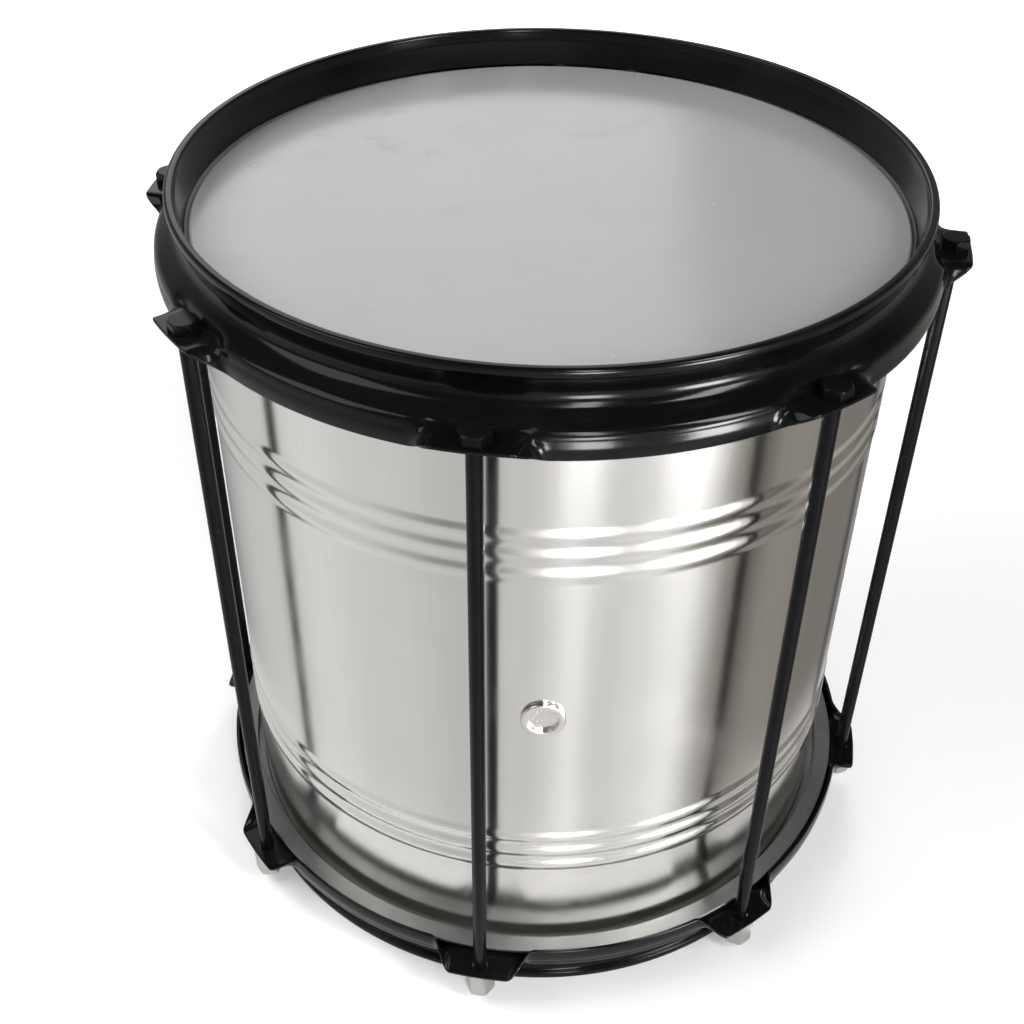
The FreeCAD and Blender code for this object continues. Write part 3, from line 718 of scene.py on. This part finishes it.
rod_corner_radius = head_flats / math.sqrt(3)
rod_corners = [
    (0, head_top, 0, 1),
    (head_flats / 2 * head_face_share, head_top, fillet / 2, 3),
    (rod_corner_radius, head_top - head_chamfer, 0, 1),
    (rod_corner_radius, head_seat, 0, 1),
    (rod_radius, head_seat, fillet, 3),
    (rod_radius, rod_end + tip_chamfer, fillet, 3),
    (rod_radius - tip_chamfer, rod_end, fillet, 3),
    (0, rod_end, 0, 1),
]

lacquer = Finish("blacked_steel", specular_ior_level=0.12)
blotches = lacquer.noise(lacquer.place, scale=55, detail=4)
turning = lacquer.noise(lacquer.stretch(lacquer.place, turning_stretch), scale=140, detail=3)
nicks = lacquer.fade(lacquer.noise(lacquer.place, scale=600, detail=3), low=0.66, high=0.74)
rod_height = lacquer.add("ShaderNodeSeparateXYZ", {"Vector": lacquer.place}, "Z")
threaded = rod_height < ear_depth
thread_turns = rod_height / thread_pitch * math.tau
thread = thread_turns.work("SINE", thread_turns) * threaded
lacquer.set("Base Color", lacquer.blend(nicks * 0.6 + blotches * 0.3, rod_black, rubbed_steel))
lacquer.set("Roughness", 0.14 + blotches * 0.08 + nicks * 0.15)
lacquer.emboss(turning * 0.02 + blotches * 0.1 + thread, thread_depth)

for number in range(rod_count):
    skin = turn(soften(rod_corners, closed=False), rod_columns)
    mill_hexagon(skin, head_flats)
    stand_at_rod(skin, number)
    piece = make_piece(skin, f"blacked_rod_{number + 1}", lacquer)
    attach(piece, f"tension_rod_{number + 1}")
    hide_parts(f"tension_rod_{number + 1}")

# The cap nuts
# Long hexagon nuts with a domed, closed end, nickel plated over brass. Each pulls its rod's ear up from
# below the lower hoop.
nut_flats = 12 * MM
nut_end, nut_top = (corner.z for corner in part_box("cap_nut_1"))
nut_chamfer = 0.9 * MM
dome_rise = 2.6 * MM
bore_clearance = 0.075 * MM
bore_gap = 1.0 * MM
bore_floor = rod_end - bore_gap
dome_steps = 8
nut_nickel = (0.60, 0.585, 0.555, 1)
nut_shade = (0.45, 0.435, 0.41, 1)
nut_corner_radius = nut_flats / math.sqrt(3)
dome_radius = (nut_corner_radius ** 2 + dome_rise ** 2) / (2 * dome_rise)
dome_angle = math.asin(nut_corner_radius / dome_radius)
dome_angles = [step / dome_steps * dome_angle for step in range(dome_steps + 1)]
nut_corners = [
    (dome_radius * math.sin(angle), nut_end + dome_radius * (1 - math.cos(angle)), 0, 1)
    for angle in dome_angles
]
nut_corners += [
    (nut_corner_radius, nut_top - nut_chamfer, 0, 1),
    (nut_flats / 2 * head_face_share, nut_top, fillet / 2, 3),
    (rod_radius + bore_clearance, nut_top, fillet, 3),
    (rod_radius + bore_clearance, bore_floor, fillet, 3),
    (0, bore_floor, 0, 1),
]

nut_plating = Finish("nut_plating", metallic=1.0)
wiped = nut_plating.noise(nut_plating.place, scale=180, detail=5)
spots = nut_plating.fade(nut_plating.noise(nut_plating.place, scale=700, detail=3), low=0.6, high=0.72)
nut_plating.set("Base Color", nut_plating.blend(wiped * 0.6 + spots * 0.3, nut_nickel, nut_shade))
nut_plating.set("Roughness", 0.26 + wiped * 0.12 + spots * 0.12)
nut_plating.emboss(wiped * 0.6 + spots * 0.2, scuff_depth)

for number in range(rod_count):
    skin = turn(soften(nut_corners, closed=False), rod_columns)
    mill_hexagon(skin, nut_flats)
    stand_at_rod(skin, number)
    piece = make_piece(skin, f"domed_nut_{number + 1}", nut_plating)
    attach(piece, f"cap_nut_{number + 1}")
    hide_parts(f"cap_nut_{number + 1}")

# The floor
# A plain pale floor that runs out to a white surround and keeps the drum's soft shadow. Polished metal
# mirrors the plain room of the light's section in its place.
floor_half_width = 6.0
floor_pale = (0.86, 0.86, 0.86, 1)
floor_lift = 0.22
far_floor = (0.5, 1.3)
mirrored_floor_fade = (0.18, 0.24)
white = (1, 1, 1, 1)
floor_skin = bmesh.new()
bmesh.ops.create_grid(floor_skin, x_segments=1, y_segments=1, size=floor_half_width)
paper = Finish("floor_paper", roughness=0.9, base_color=floor_pale)
is_camera = paper.add("ShaderNodeLightPath", output="Is Camera Ray")
brightening = is_camera * (paper.fade(paper.from_axis(), *far_floor) + floor_lift)
lift = paper.add("ShaderNodeEmission", {"Color": white, "Strength": brightening})
paper_surface = Value(paper, paper.shader.outputs[0])
lit_paper = paper.add("ShaderNodeAddShader", {0: paper_surface, 1: lift})
is_mirrored = paper.add("ShaderNodeLightPath", output="Is Glossy Ray")
is_away = paper.fade(paper.from_axis(), *mirrored_floor_fade)
clear = paper.add("ShaderNodeBsdfTransparent")
cleared = paper.add("ShaderNodeMixShader", {0: is_mirrored * is_away, 1: lit_paper, 2: clear})
paper.feed(paper.tree.nodes["Material Output"].inputs["Surface"], cleared)
floor = make_piece(floor_skin, "studio_floor", paper)

# The camera
# It looks down on the drum from a little to the right, as close as the drum was pictured from.
camera_azimuth = math.radians(7.8)
camera_distance = 0.547
camera_height = 0.6026
camera_pitch = math.radians(38.78)
camera_yaw = math.radians(1.52)
camera_roll = math.radians(0.57)
camera_data = bpy.data.cameras.new("camera")
camera_data.lens = 49.13
camera_data.sensor_width = 36
camera = bpy.data.objects.new("camera", camera_data)
camera.matrix_world = (
    Matrix.Translation(on_azimuth(camera_distance, camera_azimuth, camera_height))
    @ Matrix.Rotation(camera_azimuth + camera_yaw, 4, "Z")
    @ Matrix.Rotation(math.pi / 2 - camera_pitch, 4, "X")
    @ Matrix.Rotation(camera_roll, 4, "Z")
)
bpy.context.scene.collection.objects.link(camera)
bpy.context.scene.camera = camera

# The light
# A plain room round the drum, pale below and at the left, with two bright patches that only polished
# surfaces mirror, and six soft boxes. The ones behind light the head and throw the hoop's shadow on it.
# A stop is a share of a turn and the room's level there. The turn starts at the back and goes past the
# left, the front and the right. A glint has its azimuth and half its width in degrees, its lowest and
# highest elevation, and its level. A lamp has its azimuth and elevation in degrees, its width and height
# in metres, and its power in watts.
low_stops = [
    (0.00, 0.15), (0.09, 0.25), (0.14, 0.49), (0.175, 0.63), (0.24, 0.69), (0.27, 0.80), (0.30, 0.80),
    (0.34, 0.71), (0.39, 0.70), (0.44, 0.60), (0.47, 0.60), (0.50, 0.70), (0.512, 0.64), (0.54, 0.80),
    (0.558, 1.02), (0.578, 0.71), (0.598, 0.71), (0.61, 0.81), (0.635, 0.87), (0.655, 0.98),
    (0.671, 1.00), (0.69, 0.62), (0.708, 0.28), (0.733, 0.08), (0.757, 0.28), (0.79, 0.28),
    (0.845, 0.19), (0.90, 0.19), (0.94, 0.32), (1.00, 0.15),
]
level_stops = [
    (0.00, 0.30), (0.20, 0.65), (0.36, 0.69), (0.40, 0.50), (0.44, 0.26), (0.49, 0.34), (0.51, 0.70),
    (0.60, 0.80), (0.64, 1.15), (0.69, 1.15), (0.71, 0.22), (0.745, 0.12), (0.775, 0.42), (0.90, 0.42),
    (1.00, 0.30),
]
high_stops = [
    (0.00, 0.35), (0.10, 0.35), (0.25, 0.22), (0.36, 0.10), (0.50, 0.05), (0.75, 0.08), (0.90, 0.20),
    (1.00, 0.35),
]
right_wall = (0.70, 0.93)
wall_warmth = (1.07, 1.0, 0.92)
no_tint = (1, 1, 1)
overhead = 0.04
level_blend = (-0.53, -0.40)
high_blend = (0.08, 0.30)
overhead_blend = (0.42, 0.62)
GLINTS = (
    (20.5, 5, -25, -7, 28),
    (54, 7, -25, -7, 38),
)
sideways_softness_share = 0.5
upward_softness_share = 0.4
LAMPS = (
    ("right_strip", 58, 38, 0.30, 0.90, 13),
    ("front_strip", 20, 38, 0.16, 0.90, 7),
    ("left_panel", -62, 45, 0.90, 0.90, 6),
    ("left_box", -82, 45, 0.90, 0.90, 12),
    ("back_box", 176, 24, 0.40, 0.30, 7),
    ("back_panel", -162, 37, 0.92, 0.86, 3.8),
)
UNMIRRORED_LAMPS = ("left_box", "back_box")
lamp_distance = 1.6
drum_middle = UP * overall_height / 2

world = bpy.data.worlds.new("studio")
world.use_nodes = True
bpy.context.scene.world = world
room = Nodes(world.node_tree)
background = world.node_tree.nodes["Background"]
direction = room.add("ShaderNodeTexCoord", output="Generated")
to_right = room.add("ShaderNodeSeparateXYZ", {"Vector": direction}, "X")
to_back = room.add("ShaderNodeSeparateXYZ", {"Vector": direction}, "Y")
up = room.add("ShaderNodeSeparateXYZ", {"Vector": direction}, "Z")
azimuth_share = to_right.work("ARCTAN2", to_right, 0 - to_back) / math.tau + 0.5


def room_colour(level, tint=no_tint):
    """The room's colour at one level, grey unless it has a tint."""
    return (*(part * level for part in tint), 1)


def tone_band(stops):
    """Tones round the room, left of the front below share 0.5 and right of it above."""
    tones = []
    for place_share, level in stops:
        is_warm = right_wall[0] < place_share < right_wall[1]
        tones.append((place_share, room_colour(level, wall_warmth if is_warm else no_tint)))
    return room.add("ShaderNodeValToRGB", {"Fac": azimuth_share}, stops=tones)


def soft_mask(value, middle, half_width, softness_share):
    """1 where a value is near the middle and 0 away from it, with a soft change between."""
    off_middle = value - middle
    outer = half_width * (1 + softness_share)
    inner = half_width * (1 - softness_share)
    return room.fade(off_middle.work("ABSOLUTE", off_middle), outer, inner)


def glint_mask(azimuth_degrees, half_width, lowest, highest):
    """Where one bright patch of the room lies, between two elevations; its edges are soft."""
    azimuth = (azimuth_share - 0.5) * 360
    middle_up = math.sin(math.radians((lowest + highest) / 2))
    half_up = (math.sin(math.radians(highest)) - math.sin(math.radians(lowest))) / 2
    sideways = soft_mask(azimuth, azimuth_degrees, half_width, sideways_softness_share)
    upwards = soft_mask(up, middle_up, half_up, upward_softness_share)
    return sideways * upwards


surround = room.blend(room.fade(up, *level_blend), tone_band(low_stops), tone_band(level_stops))
surround = room.blend(room.fade(up, *high_blend), surround, tone_band(high_stops))
surround = room.blend(room.fade(up, *overhead_blend), surround, room_colour(overhead))
is_reflection = room.add("ShaderNodeLightPath", output="Is Glossy Ray")
for azimuth_degrees, half_width, lowest, highest, level in GLINTS:
    mask = glint_mask(azimuth_degrees, half_width, lowest, highest)
    surround = room.blend(mask * is_reflection, surround, room_colour(level))
is_seen = room.add("ShaderNodeLightPath", output="Is Camera Ray")
room.feed(background.inputs["Color"], room.blend(is_seen, surround, white))

for lamp_name, azimuth_degrees, elevation_degrees, width, height, power in LAMPS:
    lamp_data = bpy.data.lights.new(lamp_name, "AREA")
    lamp_data.shape = "RECTANGLE"
    lamp_data.size = width
    lamp_data.size_y = height
    lamp_data.energy = power
    lamp = bpy.data.objects.new(lamp_name, lamp_data)
    elevation = math.radians(elevation_degrees)
    reach = lamp_distance * math.cos(elevation)
    rise = lamp_distance * math.sin(elevation)
    lamp.location = drum_middle + on_azimuth(reach, math.radians(azimuth_degrees), rise)
    lamp.rotation_euler = (lamp.location - drum_middle).to_track_quat("Z", "Y").to_euler()
    lamp.visible_camera = False
    lamp.visible_glossy = lamp.visible_transmission = lamp_name not in UNMIRRORED_LAMPS
    bpy.context.scene.collection.objects.link(lamp)

bpy.context.scene.view_settings.view_transform = "Standard"
